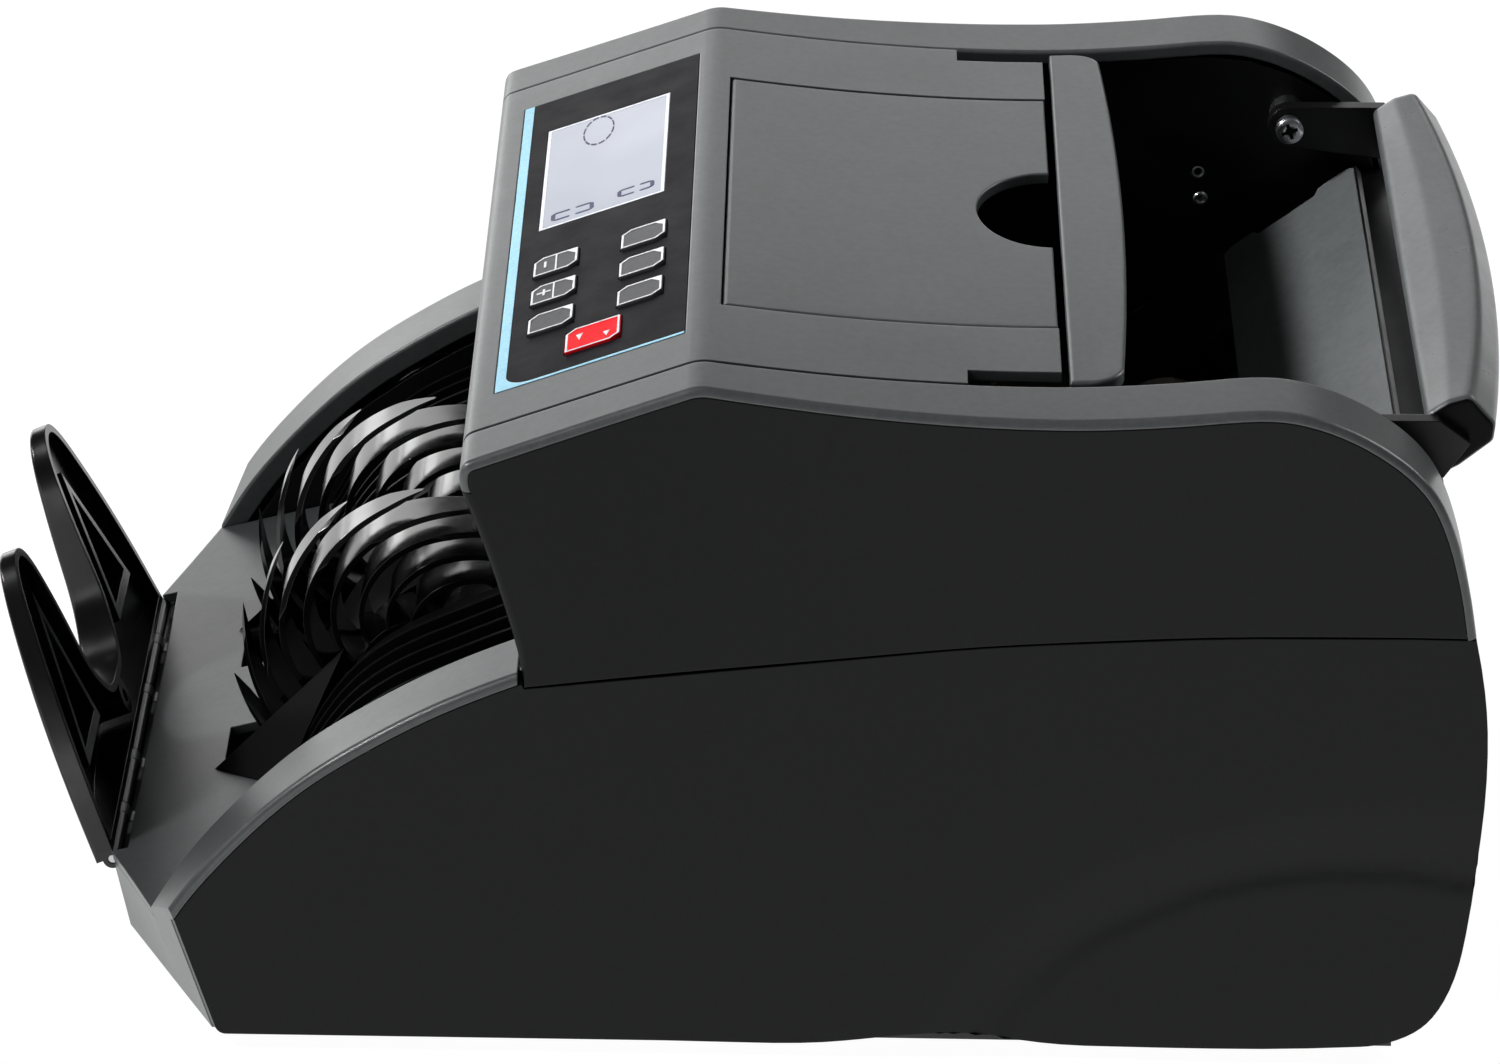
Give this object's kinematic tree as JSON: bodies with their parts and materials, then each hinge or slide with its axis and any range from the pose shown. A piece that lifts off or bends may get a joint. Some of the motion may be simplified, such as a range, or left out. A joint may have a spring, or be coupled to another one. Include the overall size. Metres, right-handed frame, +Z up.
{
  "type": "banknote counter",
  "caption": "Desktop note counter with slanted keypad and display, lift-up inspection door, rear note hopper with swinging handle and bladed stacker wheels over a front tray with a note stop.",
  "frame": {"origin": "on the resting surface under the centre of the bounding box, at the level of the undersides of the rubber feet", "axes": "+Z up; the operator and the note tray are on the -Y side; +X is to the right of the operator"},
  "size_m": [0.2564, 0.338, 0.1563],
  "materials": {
    "black_gloss": "gloss",
    "black_side": "satin",
    "black_wall": "matte",
    "board": "laminate",
    "brass": "turned",
    "core": "varnished",
    "display": "gloss",
    "grey_plastic": "satin fine texture",
    "inner_grey": "satin",
    "key_grey": "matte film",
    "key_red": "matte film",
    "motor_steel": "plated",
    "overlay": "matte film",
    "roller_rubber": "matte",
    "rubber": "matte",
    "steel": "brushed"
  },
  "bodies": {
    "housing": {"base_pan": "black_wall", "chassis_wall_left": "black_wall", "chassis_wall_right": "black_wall", "control_board": "board", "display_window": "display", "drive_belt": "rubber", "exit_guide": "black_gloss", "front_nose": "grey_plastic", "front_rail_left": "grey_plastic", "front_rail_right": "grey_plastic", "front_skirt": "black_gloss", "handle_pivot_screws": "steel", "hinge_pins": "steel", "hopper_front_plate": "black_gloss", "hopper_lip": "grey_plastic", "hopper_ramp": "inner_grey", "keypad_overlay": "overlay", "lower_side_left": "black_side", "lower_side_right": "black_side", "main_board": "board", "main_motor": "motor_steel", "pickup_belt": "rubber", "power_entry": "black_gloss", "power_supply": "core", "rear_panel": "black_wall", "retard_roller": "roller_rubber", "rubber_feet": "rubber", "sensor_bar": "black_gloss", "shaft_bushes": "brass", "stacker_belt": "rubber", "stacker_motor": "motor_steel", "stacker_tray": "grey_plastic", "top_cover": "grey_plastic", "transport_plate": "black_gloss", "upper_rail_left": "grey_plastic", "upper_rail_right": "grey_plastic", "upper_side_left": "black_side", "upper_side_right": "black_side"},
    "note_stop_plate": {"note_stop": "black_gloss"},
    "inspection_lid": {"inspection_door": "grey_plastic"},
    "carry_handle": {"handle_bar": "grey_plastic", "handle_arms": "black_gloss"},
    "rocker": {"switch_rocker": "black_gloss"},
    "stacker": {"stacker_wheel_left": "black_gloss", "stacker_wheel_right": "black_gloss", "stacker_shaft": "steel"},
    "stacker_rotor": {"stacker_motor_pulley": "steel"},
    "feed": {"feed_shaft": "steel", "feed_rollers": "roller_rubber"},
    "pickup": {"pickup_shaft": "steel", "pickup_rollers": "roller_rubber"},
    "pinch": {"pinch_roller": "roller_rubber"},
    "drive_rotor": {"motor_pulley": "steel"},
    "key_add_cap": {"key_add": "key_grey"},
    "key_auto_cap": {"key_auto": "key_grey"},
    "key_batch_cap": {"key_batch": "key_grey"},
    "key_count_mode_cap": {"key_count_mode": "key_grey"},
    "key_minus_cap": {"key_minus": "key_grey"},
    "key_plus_cap": {"key_plus": "key_grey"},
    "key_reset_cap": {"key_reset": "key_red"}
  },
  "joints": [
    {"name": "stop_fold", "type": "hinge", "parent": "housing", "child": "note_stop_plate", "pos_m": [0, -0.14167, 0.018], "axis": [-1, 0, 0], "range_deg": [0, 40]},
    {"name": "door_open", "type": "hinge", "parent": "housing", "child": "inspection_lid", "pos_m": [0, -0.00417, 0.1548], "axis": [1, 0, 0], "range_deg": [0, 95]},
    {"name": "handle_swing", "type": "hinge", "parent": "housing", "child": "carry_handle", "pos_m": [0, 0.12823, 0.137], "axis": [1, 0, 0], "range_deg": [0, 80]},
    {"name": "switch_rock", "type": "hinge", "parent": "housing", "child": "rocker", "pos_m": [-0.04, 0.15804, 0.034], "axis": [0, 0, 1], "range_deg": [0, 18]},
    {"name": "stacker_spin", "type": "hinge", "parent": "housing", "child": "stacker", "pos_m": [0, -0.07376, 0.0486], "axis": [1, 0, 0], "continuous": true},
    {"name": "stacker_motor_spin", "type": "hinge", "parent": "housing", "child": "stacker_rotor", "pos_m": [-0.09, -0.00517, 0.026], "axis": [1, 0, 0], "continuous": true},
    {"name": "feed_spin", "type": "hinge", "parent": "housing", "child": "feed", "pos_m": [0, 0.05883, 0.066], "axis": [1, 0, 0], "continuous": true},
    {"name": "pickup_spin", "type": "hinge", "parent": "housing", "child": "pickup", "pos_m": [0, 0.09884, 0.08], "axis": [1, 0, 0], "continuous": true},
    {"name": "pinch_spin", "type": "hinge", "parent": "housing", "child": "pinch", "pos_m": [0, 0.04383, 0.0876], "axis": [1, 0, 0], "continuous": true},
    {"name": "drive_motor_spin", "type": "hinge", "parent": "housing", "child": "drive_rotor", "pos_m": [-0.09, 0.11683, 0.046], "axis": [1, 0, 0], "continuous": true},
    {"name": "key_add_press", "type": "slide", "parent": "housing", "child": "key_add_cap", "axis": [0, 0.3409, -0.9401], "range_m": [0, 0.0008], "stiffness_N_per_m": 600},
    {"name": "key_auto_press", "type": "slide", "parent": "housing", "child": "key_auto_cap", "axis": [0, 0.3409, -0.9401], "range_m": [0, 0.0008], "stiffness_N_per_m": 600},
    {"name": "key_batch_press", "type": "slide", "parent": "housing", "child": "key_batch_cap", "axis": [0, 0.3409, -0.9401], "range_m": [0, 0.0008], "stiffness_N_per_m": 600},
    {"name": "key_count_mode_press", "type": "slide", "parent": "housing", "child": "key_count_mode_cap", "axis": [0, 0.3409, -0.9401], "range_m": [0, 0.0008], "stiffness_N_per_m": 600},
    {"name": "key_minus_press", "type": "slide", "parent": "housing", "child": "key_minus_cap", "axis": [0, 0.3409, -0.9401], "range_m": [0, 0.0008], "stiffness_N_per_m": 600},
    {"name": "key_plus_press", "type": "slide", "parent": "housing", "child": "key_plus_cap", "axis": [0, 0.3409, -0.9401], "range_m": [0, 0.0008], "stiffness_N_per_m": 600},
    {"name": "key_reset_press", "type": "slide", "parent": "housing", "child": "key_reset_cap", "axis": [0, 0.3409, -0.9401], "range_m": [0, 0.0008], "stiffness_N_per_m": 600}
  ],
  "couplings": [
    {"joint": "stacker_motor_spin", "follows": "stacker_spin", "ratio": 2.6667},
    {"joint": "pickup_spin", "follows": "feed_spin", "ratio": 1},
    {"joint": "pinch_spin", "follows": "feed_spin", "ratio": -2.7143},
    {"joint": "drive_motor_spin", "follows": "feed_spin", "ratio": 2.5714}
  ]
}
